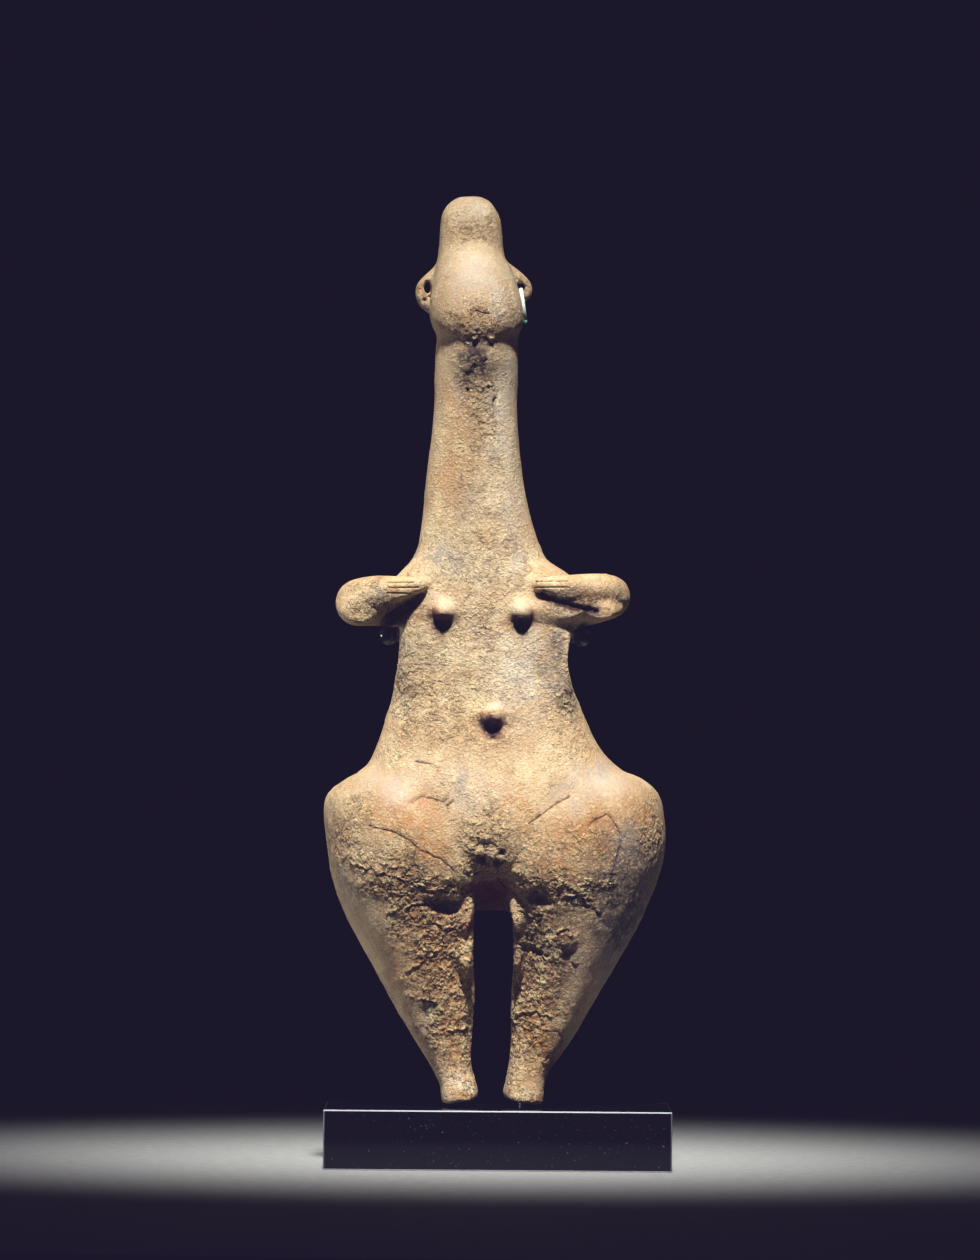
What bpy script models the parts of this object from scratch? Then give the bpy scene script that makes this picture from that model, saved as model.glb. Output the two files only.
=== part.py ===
"""A steatopygous idol of fired clay, held upright on its own stand.

The figure has a tongue-shaped crest, a round faceless head with two pierced ears, a long neck, small folded
arms, peg breasts and navel, huge hips and tapering legs. A bronze ring hangs in one ear. A black block carries a
bent steel rod, whose two prongs reach forward under the armpits and end in soft dark sleeves.

The frame: +Z is up, the figure faces -Y, and the origin is the middle of the block's underside. The figure's own
heights are in millimetres above its soles, and left and right are those of someone looking at its front.
"""

import math

import bmesh
import bpy
import numpy as np
from mathutils import Matrix, Vector

MM = 0.001

# The stand.
PLINTH = (153.0, 100.0, 26.4)
PLINTH_EDGE = 0.5
GAP = 0.3
ROD_RADIUS = 3.0
PRONG_RADIUS = 2.4
POST_POINTS = 40
SLEEVE_RADIUS = 4.1
SLEEVE_LENGTH = 21.0
BORE_DEPTH = 14.0

# The middle line of the rod that rises from the block: height, x, y. It starts in a socket behind one leg, bends
# back round the hips along the cleft of the buttocks, and comes in again behind the waist.
POST = (
    (14, 12, 36),
    (30, 12, 36),
    (62, 12, 36),
    (92, 12, 37.8),
    (112, 11.5, 42.5),
    (124, 7, 48.5),
    (136, 0.5, 51.5),
    (150, -4.5, 52),
    (163, -5.5, 49),
    (178, -6, 38),
    (191, -6.5, 28),
    (206, -7, 23),
    (234.7, -7.2, 21.5),
)
# The two prongs: across and height on the figure. They reach forward from the bar behind the back.
PRONG_ACROSS = (-48.4, 37.3)
PRONG_HEIGHT = 205.7
BAR_Y = 21.5
BAR_BEND = 9.0
PRONG_TIP_Y = -13.0

# Where the figure is on the stand.
SOLE_HEIGHT = 29.0
FIGURE_Y = -9.0
LEAN = 0.008  # sideways, for each unit of height

# The clay skin.
VOXEL = 1.5
SMOOTH_TURNS = 5
IDOL_TRIANGLES = 7100
RING_SIDES = 48
RING_STEP = 3.0

# Sections of the trunk, from inside the head down to the crotch: height, left, right, front, back.
TRUNK = (
    (374, -22, 3, -10, 16.5),
    (362, -26, 7, -14, 17.5),
    (350, -27, 8.5, -17.5, 18),
    (341, -26.9, 8.8, -19, 18.3),
    (333, -27.3, 9, -19.4, 18.5),
    (324, -28, 9.2, -19.3, 18.5),
    (308, -28, 8.5, -19, 18.5),
    (292, -29.6, 9.4, -19, 19),
    (276, -31.8, 11.2, -19.2, 20),
    (260, -33.1, 14.3, -19.5, 21),
    (250, -34.5, 17.3, -19.8, 22),
    (244, -35.6, 19.6, -20.1, 22.5),
    (239, -38.2, 22.6, -20.5, 23),
    (235, -42.5, 30, -21, 23.5),
    (228, -47.5, 35.4, -21.5, 24),
    (218, -48, 37, -22, 24.5),
    (209, -44.4, 33, -22, 25),
    (202, -43.4, 31.4, -22.5, 25),
    (195, -44, 30.9, -23, 25.5),
    (186, -45.6, 32.2, -23.5, 26),
    (177, -47.2, 35.8, -24, 26.5),
    (169, -49.8, 39.2, -25, 27.5),
    (160, -52.5, 43.3, -26.5, 29.5),
    (154, -55, 47.3, -27.8, 33),
    (149, -57.4, 52.5, -29, 37.5),
    (144, -63, 59, -30.4, 43),
    (137, -66, 62, -32, 49),
    (128, -65, 61, -34, 53),
    (118, -57, 53, -34.4, 53),
    (110, -42, 37, -32.6, 50),
    (104, -25, 20, -28, 46),
    (99, -17, 12, -18, 44),
    (95, -13.5, 8.5, -2, 42),
    (90, -12.5, 7, 12, 40),
    (84, -10, 5, 24, 37),
)

# Depths of both legs, from the top of the hip down to the sole: height, front, back, and where it is widest.
LEG_DEPTH = (
    (149, -15, 31, 8),
    (147, -19, 38, 9),
    (144, -22.5, 46, 10),
    (140, -26, 53, 11),
    (136, -29, 58, 12),
    (131, -31.8, 62, 13),
    (124, -34.4, 65.5, 14),
    (114, -35.6, 67, 14),
    (104, -35.4, 65.5, 14),
    (98, -34, 62.5, 14),
    (92, -31.2, 59, 14),
    (86, -28.8, 55, 13),
    (79, -26.6, 50, 12),
    (67, -23, 42, 11),
    (46, -17.2, 30.5, 8),
    (25, -12.4, 19.5, 5),
    (14, -11.2, 14.5, 3),
    (9, -13.4, 12.4, 1),
    (5, -17.4, 11.5, -1),
    (0, -19.6, 11, -3),
)

# Outlines of each leg, seen from the front: height, outer edge, inner edge.
LEFT_LEG = (
    (149, -46, -8),
    (147, -55.4, 0),
    (144, -64.6, 3),
    (140, -71, 5),
    (136, -75.6, 6),
    (131, -77.3, 6),
    (124, -77.3, 6),
    (114, -76, 5),
    (101, -74.3, 2),
    (92, -71.8, -6),
    (86, -69.6, -10.2),
    (78, -65.9, -10.6),
    (67, -59.6, -11),
    (46, -48.2, -10.4),
    (25, -35.8, -11.8),
    (14, -28.8, -11.6),
    (8, -25.6, -9.6),
    (3, -25.2, -8.4),
    (0, -24.6, -8.8),
)
RIGHT_LEG = (
    (149, 44, 2),
    (147, 53.4, -6),
    (144, 63.2, -9),
    (140, 69, -11),
    (136, 72, -12),
    (131, 73.4, -12),
    (124, 74.3, -12),
    (114, 74.7, -11),
    (101, 71.9, -8),
    (92, 68.6, 1),
    (86, 66, 5),
    (78, 62.4, 6.6),
    (67, 56.2, 7.2),
    (46, 43.6, 6),
    (25, 31.2, 5.7),
    (14, 23, 4.5),
    (8, 20.6, 3.4),
    (3, 20.4, 1.8),
    (0, 20, 2.4),
)
SOLE_TILT = 0.16  # each sole is lower at its outer edge, for each unit of width
SOLE_FADE = 16.0  # and level again at this height

# The crest: height, left, right, front, back.
CREST = (
    (401.2, -15.6, -8.2, 1, 7),
    (400.4, -18.4, -5.4, -2.5, 10),
    (398, -21.9, -2.2, -5.5, 12.5),
    (394, -24.7, 0, -7.2, 14),
    (388, -25.5, 1.8, -8.4, 15),
    (380, -25.8, 2.2, -10, 16),
    (374, -26.4, 3.2, -12, 16.8),
    (366, -28, 6, -13, 17.4),
    (352, -27, 6.5, -10, 17),
)

# The round head, which leans out over the neck.
HEAD = (
    (381, -18, -4, -9, 8),
    (377, -22.5, 0.5, -14.6, 11),
    (370, -26.3, 5, -20.6, 14),
    (362, -28.8, 8.6, -25.2, 15.5),
    (354, -30.2, 10.9, -27.6, 16.5),
    (347, -30.4, 11.7, -28.2, 16.5),
    (341, -28.3, 10.3, -26.6, 15),
    (337, -24.5, 7.2, -23.6, 12),
    (334.5, -18, 1, -19, 9),
)

# Each ear is a loop of clay: points of its middle line and its thickness there, then its hole.
EAR_Y = 6.0
LEFT_EAR = (
    (-21.5, EAR_Y, 370.5, 3.6),
    (-26.5, EAR_Y, 366.8, 3.5),
    (-30.8, EAR_Y, 363.2, 3.3),
    (-33.6, EAR_Y, 360.6, 3.1),
    (-33.8, EAR_Y, 356.4, 3.0),
    (-31.8, EAR_Y, 352.8, 2.8),
    (-28, EAR_Y, 350.6, 2.8),
)
RIGHT_EAR = (
    (1, EAR_Y, 370.0, 3.6),
    (6.6, EAR_Y, 366.8, 3.3),
    (10.9, EAR_Y, 363.3, 3.1),
    (13.1, EAR_Y, 360.4, 2.9),
    (12.8, EAR_Y, 357.4, 2.5),
    (10.4, EAR_Y, 356.0, 2.4),
    (7.0, EAR_Y, 355.4, 2.6),
)
EAR_FLATNESS = 1.3  # front to back, as a part of its width
EAR_DRILL = 16.0
EAR_HOLES = ((-31.3, 360.3, 1.6), (-32.4, 355.0, 0.8), (10.2, 361.0, 2.1))

# The arms: the points of the middle line from the shoulder out to the elbow and in to the hand, and the radius.
LEFT_ARM = (
    (-34, 3, 220.2, 12.0),
    (-50, 2, 220.2, 10.2),
    (-61.5, -3, 220.2, 10.6),
    (-55, -13, 222.6, 9.6),
    (-45.5, -21, 225.4, 6.8),
    (-37.5, -23.6, 227.6, 4.4),
    (-34, -22, 228, 3.6),
)
RIGHT_ARM = (
    (22, 3, 219.2, 12.0),
    (38, 2, 221.2, 10.8),
    (49.6, -1, 223.6, 9.4),
    (45, -12, 225.7, 8.5),
    (34, -20, 226.4, 7.0),
    (23.5, -23.6, 228.0, 4.8),
    (19, -22, 228.2, 3.8),
)

# Pegs of clay: middle of the root, its radius, the length and how far the tip drops.
PEGS = (
    (-24.3, -19.0, 218.8, 5.3, 7.6, 1.2),
    (10.8, -19.0, 218.6, 5.7, 7.8, 1.2),
    (-2.0, -21.5, 172.9, 5.7, 7.6, 1.2),
)
PEG_TIP = 0.7  # of the root's radius

# The earring hangs in the hole of the right ear and leans on the head.
RING_MIDDLE = (12.1, EAR_Y, 354.1)
RING_RADIUS = 7.4
RING_WIRE = 1.05
RING_TILT = math.radians(16)


def on_figure(x, y, z):
    """A place on the figure, in metres."""
    return Vector((x - LEAN * z, y + FIGURE_Y, z + SOLE_HEIGHT)) * MM


def blend_rows(rows, height):
    """The values at a height, on smooth curves through the rows."""
    table = np.array(sorted(rows), float)
    heights, values = table[:, 0], table[:, 1:]
    slopes = np.gradient(values, heights, axis=0)
    upper = int(np.clip(np.searchsorted(heights, height), 1, len(heights) - 1))
    lower = upper - 1
    span = heights[upper] - heights[lower]
    t = (height - heights[lower]) / span
    return (
        (2 * t**3 - 3 * t**2 + 1) * values[lower]
        + (t**3 - 2 * t**2 + t) * span * slopes[lower]
        + (3 * t**2 - 2 * t**3) * values[upper]
        + (t**3 - t**2) * span * slopes[upper]
    )


def levels(rows):
    """Heights from the bottom row to the top one: every row, and steps between them."""
    heights = sorted(row[0] for row in rows)
    found = []
    for low, high in zip(heights, heights[1:]):
        count = max(1, round((high - low) / RING_STEP))
        found += [low + (high - low) * step / count for step in range(count)]
    return found + [heights[-1]]


def section(left, right, front, back, widest, squareness):
    """Points of a rounded outline with its own depth in front of and behind its widest place."""
    middle, half = (left + right) / 2, (right - left) / 2
    for side in range(RING_SIDES):
        angle = math.tau * side / RING_SIDES
        cosine, sine = math.cos(angle), math.sin(angle)
        depth = back - widest if sine > 0 else widest - front
        across = math.copysign(abs(cosine) ** (2 / squareness), cosine)
        along = math.copysign(abs(sine) ** (2 / squareness), sine)
        yield middle + half * across, widest + depth * along


def skin(mesh, rings):
    """Adds a closed form through rings of points, listed from the bottom up."""
    loops = [[mesh.verts.new(point) for point in ring] for ring in rings]
    for low, high in zip(loops, loops[1:]):
        for side in range(len(low)):
            after = (side + 1) % len(low)
            mesh.faces.new((low[side], low[after], high[after], high[side]))
    mesh.faces.new(reversed(loops[0]))
    mesh.faces.new(loops[-1])


def add_trunk_form(mesh, rows, squareness):
    """A form whose sections are widest in the middle of their depth."""
    rings = []
    for height in levels(rows):
        left, right, front, back = blend_rows(rows, height)
        points = section(left, right, front, back, (front + back) / 2, squareness)
        rings.append([on_figure(x, y, height) for x, y in points])
    skin(mesh, rings)


def add_leg(mesh, outline):
    """A hip, thigh, leg and foot in one, with the sole tilted."""
    rings = []
    for height in levels(outline):
        outer, inner = blend_rows(outline, height)
        front, back, widest = blend_rows(LEG_DEPTH, height)
        left, right = min(outer, inner), max(outer, inner)
        tilt = SOLE_TILT * max(0.0, 1 - height / SOLE_FADE)
        side = 1 if outer > inner else -1
        points = section(left, right, front, back, widest, 2.4)
        rings.append([on_figure(x, y, height - side * tilt * (x - (left + right) / 2)) for x, y in points])
    skin(mesh, rings)


def add_ball(mesh, middle, radii):
    """A ball, copied from one pattern so that many are quick to add."""
    if "ball" not in bpy.data.meshes:
        pattern = bmesh.new()
        bmesh.ops.create_uvsphere(pattern, u_segments=24, v_segments=16, radius=MM)
        pattern.to_mesh(bpy.data.meshes.new("ball"))
        pattern.free()
    ball = bpy.data.meshes["ball"].copy()
    ball.transform(Matrix.Translation(on_figure(*middle)) @ Matrix.Diagonal((*radii, 1)))
    mesh.from_mesh(ball)
    bpy.data.meshes.remove(ball)


def add_rope(mesh, points, flatness=1.0):
    """A bent roll of clay: balls along a smooth line, close enough to run into one another."""
    table = [(index, *point) for index, point in enumerate(points)]
    steps = 6 * (len(points) - 1)
    for step in range(steps + 1):
        x, y, z, radius = blend_rows(table, step / 6)
        add_ball(mesh, (x, y, z), (radius, radius * flatness, radius))


def add_peg(mesh, x, y, z, radius, length, drop):
    """A pinched cone of clay with a round tip."""
    add_rope(
        mesh,
        (
            (x, y, z, radius),
            (x, y - length / 2, z - drop / 2, radius * (1 + PEG_TIP) / 2),
            (x, y - length + radius * PEG_TIP, z - drop, radius * PEG_TIP),
        ),
    )


def new_object(name, mesh, group):
    data = bpy.data.meshes.new(name)
    mesh.to_mesh(data)
    mesh.free()
    found = bpy.data.objects.new(name, data)
    group.objects.link(found)
    return found


def finish(item, name, colour, roughness, metallic=0.0):
    material = bpy.data.materials.new(name)
    material.use_nodes = True
    shader = material.node_tree.nodes["Principled BSDF"]
    shader.inputs["Base Color"].default_value = (*colour, 1)
    shader.inputs["Roughness"].default_value = roughness
    shader.inputs["Metallic"].default_value = metallic
    item.data.materials.append(material)


def make_idol(group, cutters):
    mesh = bmesh.new()
    add_trunk_form(mesh, TRUNK, 2.3)
    add_trunk_form(mesh, CREST, 2.5)
    add_trunk_form(mesh, HEAD, 2.0)
    add_leg(mesh, LEFT_LEG)
    add_leg(mesh, RIGHT_LEG)
    for arm in (LEFT_ARM, RIGHT_ARM):
        add_rope(mesh, arm)
    for ear in (LEFT_EAR, RIGHT_EAR):
        add_rope(mesh, ear, EAR_FLATNESS)
    for peg in PEGS:
        add_peg(mesh, *peg)
    idol = new_object("idol", mesh, group)
    finish(idol, "fired_clay", (0.47, 0.33, 0.20), 0.9)

    remesh = idol.modifiers.new("one clay skin", "REMESH")
    remesh.mode = "VOXEL"
    remesh.voxel_size = VOXEL * MM
    remesh.use_smooth_shade = True
    smooth = idol.modifiers.new("hand smoothing", "SMOOTH")
    smooth.factor = 0.5
    smooth.iterations = SMOOTH_TURNS
    thin = idol.modifiers.new("fewer triangles", "DECIMATE")
    thin.use_collapse_triangulate = True
    count = len(idol.evaluated_get(bpy.context.evaluated_depsgraph_get()).data.loop_triangles)
    thin.ratio = IDOL_TRIANGLES / count
    for x, z, radius in EAR_HOLES:
        place = Matrix.Translation(on_figure(x, EAR_Y, z)) @ Matrix.Rotation(math.radians(90), 4, "X")
        drill(idol, cutters, place, radius, EAR_DRILL)


def drill(item, cutters, place, radius, depth):
    """A straight hole, cut by a round bar whose middle and direction are those of the place."""
    mesh = bmesh.new()
    bmesh.ops.create_cone(
        mesh,
        cap_ends=True,
        segments=20,
        radius1=radius * MM,
        radius2=radius * MM,
        depth=depth * MM,
        matrix=place,
    )
    bit = new_object("drill", mesh, cutters)
    bit.hide_render = True
    bit.display_type = "WIRE"
    cut = item.modifiers.new("hole", "BOOLEAN")
    cut.operation = "DIFFERENCE"
    cut.object = bit


def make_earring(group):
    bpy.ops.mesh.primitive_torus_add(
        location=on_figure(*RING_MIDDLE),
        rotation=(0, math.radians(90) - RING_TILT, 0),
        major_radius=RING_RADIUS * MM,
        minor_radius=RING_WIRE * MM,
        major_segments=32,
        minor_segments=8,
    )
    earring = bpy.context.object
    earring.name = "earring"
    for collection in list(earring.users_collection):
        collection.objects.unlink(earring)
    group.objects.link(earring)
    earring.data.shade_smooth()
    finish(earring, "green_bronze", (0.30, 0.45, 0.36), 0.45, 1.0)


def make_plinth(group, cutters):
    mesh = bmesh.new()
    width, depth, height = (size * MM for size in PLINTH)
    place = Matrix.Translation((0, 0, height / 2)) @ Matrix.Diagonal((width, depth, height, 1))
    bmesh.ops.create_cube(mesh, size=1, matrix=place)
    plinth = new_object("plinth", mesh, group)
    finish(plinth, "gloss_black", (0.01, 0.01, 0.012), 0.12)
    edge = plinth.modifiers.new("worn edge", "BEVEL")
    edge.width = PLINTH_EDGE * MM
    edge.segments = 1
    foot, x, y = POST[0]
    socket = PLINTH[2] - foot + GAP
    place = Matrix.Translation(Vector((x, y, PLINTH[2])) * MM)
    drill(plinth, cutters, place, ROD_RADIUS + GAP, 2 * socket)


def make_rod(points, radius):
    """A round steel rod along the points, as a mesh with closed ends."""
    curve = bpy.data.curves.new("rod", "CURVE")
    curve.dimensions = "3D"
    curve.bevel_depth = radius * MM
    curve.bevel_resolution = 3
    curve.use_fill_caps = True
    spline = curve.splines.new("POLY")
    spline.points.add(len(points) - 1)
    for point, place in zip(spline.points, points):
        point.co = (*(Vector(place) * MM), 1)
    item = bpy.data.objects.new("rod", curve)
    bpy.context.scene.collection.objects.link(item)
    mesh = bmesh.new()
    evaluated = item.evaluated_get(bpy.context.evaluated_depsgraph_get())
    data = bpy.data.meshes.new_from_object(evaluated)
    mesh.from_mesh(data)
    bmesh.ops.remove_doubles(mesh, verts=mesh.verts, dist=0.00001)
    bmesh.ops.recalc_face_normals(mesh, faces=mesh.faces)
    bpy.data.objects.remove(item)
    bpy.data.meshes.remove(data)
    return mesh


def prong_place(side, y):
    """A point on the middle line of one prong, in millimetres."""
    place = on_figure(PRONG_ACROSS[side], 0, PRONG_HEIGHT) / MM
    return Vector((place.x, y, place.z))


def make_cradle(group, cutters):
    """The post, and the bar across its top with a prong at each end, welded into one."""
    heights = np.linspace(POST[0][0], POST[-1][0], POST_POINTS)
    post = make_rod([(*blend_rows(POST, height), height) for height in heights], ROD_RADIUS)
    cradle = new_object("cradle", post, group)
    finish(cradle, "black_steel", (0.012, 0.012, 0.013), 0.4, 0.6)

    left, right = prong_place(0, BAR_Y), prong_place(1, BAR_Y)
    steps = [math.radians(90) * step / 6 for step in range(7)]
    bar = [prong_place(0, PRONG_TIP_Y)]
    for turn in steps:
        bar.append(left + Vector((1 - math.cos(turn), math.sin(turn) - 1, 0)) * BAR_BEND)
    for turn in reversed(steps):
        bar.append(right + Vector((math.cos(turn) - 1, math.sin(turn) - 1, 0)) * BAR_BEND)
    bar.append(prong_place(1, PRONG_TIP_Y))
    yoke = new_object("yoke", make_rod(bar, PRONG_RADIUS), cutters)
    yoke.hide_render = True
    yoke.display_type = "WIRE"
    weld = cradle.modifiers.new("weld", "BOOLEAN")
    weld.operation = "UNION"
    weld.object = yoke


def make_sleeve(name, side, group):
    """A soft tube with a round closed end, pushed over the tip of a prong."""
    bore = PRONG_RADIUS + GAP
    rounding = 0.5
    outline = [
        (SLEEVE_RADIUS * math.cos(turn), SLEEVE_LENGTH - SLEEVE_RADIUS * (1 - math.sin(turn)))
        for turn in (math.radians(90 - 15 * step) for step in range(7))
    ]
    outline[0] = (0, SLEEVE_LENGTH)
    outline += [
        (SLEEVE_RADIUS, rounding),
        (SLEEVE_RADIUS - rounding, 0),
        (bore, 0),
        (bore, BORE_DEPTH),
        (0, BORE_DEPTH),
    ]
    mesh = bmesh.new()
    points = [mesh.verts.new((x * MM, 0, z * MM)) for x, z in outline]
    for above, below in zip(points, points[1:]):
        mesh.edges.new((above, below))
    sleeve = new_object(name, mesh, group)
    tip = BORE_DEPTH - GAP
    sleeve.location = prong_place(side, PRONG_TIP_Y + tip) * MM
    sleeve.rotation_euler.x = math.radians(90)
    finish(sleeve, "dark_tubing", (0.015, 0.03, 0.04), 0.25)
    turn = sleeve.modifiers.new("turned", "SCREW")
    turn.steps = turn.render_steps = 18
    turn.use_merge_vertices = True
    turn.merge_threshold = 0.00001
    turn.use_smooth_shade = True


def main():
    for old in list(bpy.data.objects):
        bpy.data.objects.remove(old)
    group = bpy.data.collections.new("steatopygous_idol")
    cutters = bpy.data.collections.new("cutters")
    for collection in (group, cutters):
        bpy.context.scene.collection.children.link(collection)
    make_idol(group, cutters)
    make_earring(group)
    make_plinth(group, cutters)
    make_cradle(group, cutters)
    make_sleeve("sleeve_left", 0, group)
    make_sleeve("sleeve_right", 1, group)


main()
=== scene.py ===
"""The looks of a steatopygous idol of fired clay on its stand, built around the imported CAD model.

The idol is one skin of clay: the CAD form made smooth, filled out where it lies too deep, carved with its
fingers, hollows and cracks, then roughened with the lime crust of its burial and thinned where it is plain.
The ring, block and sleeves are modelled anew on the CAD places, and the rod is its CAD form made round.

Places on the figure are in millimetres: x across from its middle line, y back, z above its soles. Left and
right are those of someone looking at its front. A spot on it is an oval seen from the front: x and z of its
middle, then its half width and half height.
"""

import math

import bpy
import numpy as np
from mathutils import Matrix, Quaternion, Vector, noise


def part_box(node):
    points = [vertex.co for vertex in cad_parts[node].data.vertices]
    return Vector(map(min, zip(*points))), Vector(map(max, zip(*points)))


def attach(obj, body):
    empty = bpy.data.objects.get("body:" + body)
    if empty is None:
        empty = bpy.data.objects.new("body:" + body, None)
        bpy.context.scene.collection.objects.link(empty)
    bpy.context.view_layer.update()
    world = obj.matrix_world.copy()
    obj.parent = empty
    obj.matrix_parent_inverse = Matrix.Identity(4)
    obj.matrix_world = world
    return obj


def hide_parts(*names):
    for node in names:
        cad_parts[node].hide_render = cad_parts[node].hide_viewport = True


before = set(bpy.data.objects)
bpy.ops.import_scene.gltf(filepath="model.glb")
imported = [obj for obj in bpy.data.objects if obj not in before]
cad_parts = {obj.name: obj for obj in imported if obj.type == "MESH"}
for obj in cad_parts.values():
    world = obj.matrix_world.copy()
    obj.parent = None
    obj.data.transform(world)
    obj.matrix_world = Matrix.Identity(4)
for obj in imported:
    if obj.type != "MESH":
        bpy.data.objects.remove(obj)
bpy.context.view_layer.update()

MM = 0.001

# Where the figure is on the stand, as in the CAD model. The lean is sideways, for each unit of height.
SOLE_HEIGHT = 29.0
FIGURE_Y = -9.0
LEAN = 0.008

# The clay mesh, in millimetres.
VOXEL = 0.62
FIRST_SMOOTHING = 6
CRUSTED = 0.5  # above this much crust the mesh is made finer, so that it holds the crumbs
CUT_REACH = 1.5  # how far from a cut or crack the mesh is made finer
CLAY_TRIANGLES = 194000
FRONT_FADE = (-0.15, 0.3)  # how much the skin faces forward where the work on the front starts and is full
NOISE_GAIN = 1.6  # brings the noise to about -1 to 1
OVERLAP = 0.35  # how much a weaker spot adds to a stronger one that it lies under

# Incised fingers: where each groove starts and ends. Every cut below is half a width and a depth.
FINGERS = (
    ((-48.7, 228.8), (-37.0, 229.1)),
    ((-48.2, 226.5), (-34.6, 226.8)),
    ((-48.9, 224.3), (-35.1, 223.9)),
    ((19.7, 231.8), (27.0, 231.9)),
    ((16.5, 229.8), (30.9, 230.0)),
    ((16.6, 227.2), (31.9, 227.4)),
)
FINGER_CUT = (0.36, 0.55)

# Cracks in the thighs, lap, shins and chin: bent lines across and up the front.
CRACKS = (
    ((-57.7, 122.1), (-45.3, 119), (-37.3, 114.6), (-34.2, 111.4), (-26.6, 108.3), (-19.5, 103)),
    ((-36.4, 110.6), (-36.9, 106.1), (-32.4, 98.1)),
    ((-37.3, 104.3), (-43.1, 98.1)),
    ((-36.9, 132.8), (-33.7, 135), (-29.3, 134.1), (-24, 132.3)),
    ((-21.8, 131), (-19.1, 133.2)),
    ((-36.4, 150.1), (-29.7, 149.2)),
    ((13.8, 123.4), (21.3, 128.8), (25.3, 131.9), (31.5, 135.4)),
    (
        (40, 122.5),
        (42.6, 125.2),
        (48, 127.9),
        (53.7, 120.3),
        (54.2, 116.8),
        (51.9, 107),
        (49.7, 98.6),
        (48.8, 95.9),
    ),
    ((6.7, 34.6), (13, 34.2), (20, 31.9), (26.6, 31.1), (28.4, 27.5), (27.5, 24.9)),
    ((-10.2, 349), (-6.8, 347.9), (-3.6, 347.7)),
)
CRACK_CUT = (0.2, 0.55)

# A deeper cut: the gap between the right forearm and the arm behind it.
SLITS = (((19.4, 224.6), (22.5, 222.6), (26.0, 221.2), (31.0, 219.9), (38.0, 218.3), (43.4, 217.2)),)
SLIT_CUT = (0.8, 3.0)

# Ledges where a sheet of crust has broken off: a raised line with a groove under it, and its height and
# half width.
LEDGES = (
    ((-31.5, 93.7), (-25.3, 95.0), (-18.6, 94.1), (-13.3, 92.4)),
    ((-20.0, 72.8), (-25.3, 67.9), (-32.4, 63.0), (-39.5, 57.3)),
    ((-48.0, 83.5), (-40.0, 86.6), (-32.0, 88.8)),
    ((-38.2, 47.0), (-31.1, 45.7), (-27.1, 44.4)),
    ((-64.8, 106.1), (-51.9, 101.2), (-32.9, 95.9)),
    ((-22.2, 31.1), (-14.2, 32.9)),
    ((7.5, 70.1), (14.7, 67.0), (21.3, 63.9)),
    ((6.7, 86.6), (14.7, 83.5), (22.6, 84.4)),
    ((23.5, 94.6), (34.6, 91.9), (46.2, 84.8)),
    ((26.2, 75.5), (30.6, 77.3), (35.5, 74.6)),
    ((33.7, 62.6), (39.5, 60.4)),
    ((8.0, 39.0), (16.9, 40.8), (23.5, 38.2)),
    ((7.5, 54.0), (15.0, 51.5), (20.0, 53.0)),
    ((-30.0, 80.0), (-22.0, 77.0), (-14.0, 79.5)),
)
LEDGE = (0.65, 0.6)

# Spots where the skin lies further forward than on the CAD form, and how far.
FULLER = (
    (-10, 330, 14, 8, 4.4),
    (-22, 84, 18, 16, 2.0),
    (18, 86, 18, 14, 2.0),
    (-15, 82, 7, 16, 3.0),
    (9, 84, 7, 14, 3.0),
)
# Spots on the flanks, forearms and inner legs that are filled out to a depth, and its y.
FILLED = (
    (27, 198, 9, 24, -20.5),
    (20, 210, 9, 16, -21.8),
    (30, 218, 13, 6, -24.8),
    (46, 216.5, 8, 4.5, -22.8),
    (-35, 198, 9, 22, -19.5),
    (-31, 210, 8, 16, -21.5),
    (-61, 215.5, 9, 6.5, -22.0),
    (-14, 84, 4, 10, -23.5),
    (-14, 68, 4, 12, -19.5),
    (8, 84, 4, 10, -22.5),
    (8, 68, 4, 12, -17.5),
)
# The spot of the crease under the head, which is smoothed out, and the rounds of smoothing.
CREASE = (-10, 334, 26, 6, 120)
# The knobs of the navel and breasts, which sit lower than on the CAD form: their spots, and how far.
SUNK = (
    (-2.0, 170.0, 9.0, 10.0, 2.2),
    (-24.3, 217.0, 7.0, 8.0, 2.4),
    (11.0, 217.0, 7.0, 8.0, 1.4),
)
# The hole of the left ear, drawn out by the weight of a ring: x, z, reach, and how much taller it is.
WORN_HOLE = (-31.4, 360.0, 4.2, 0.8)

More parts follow.
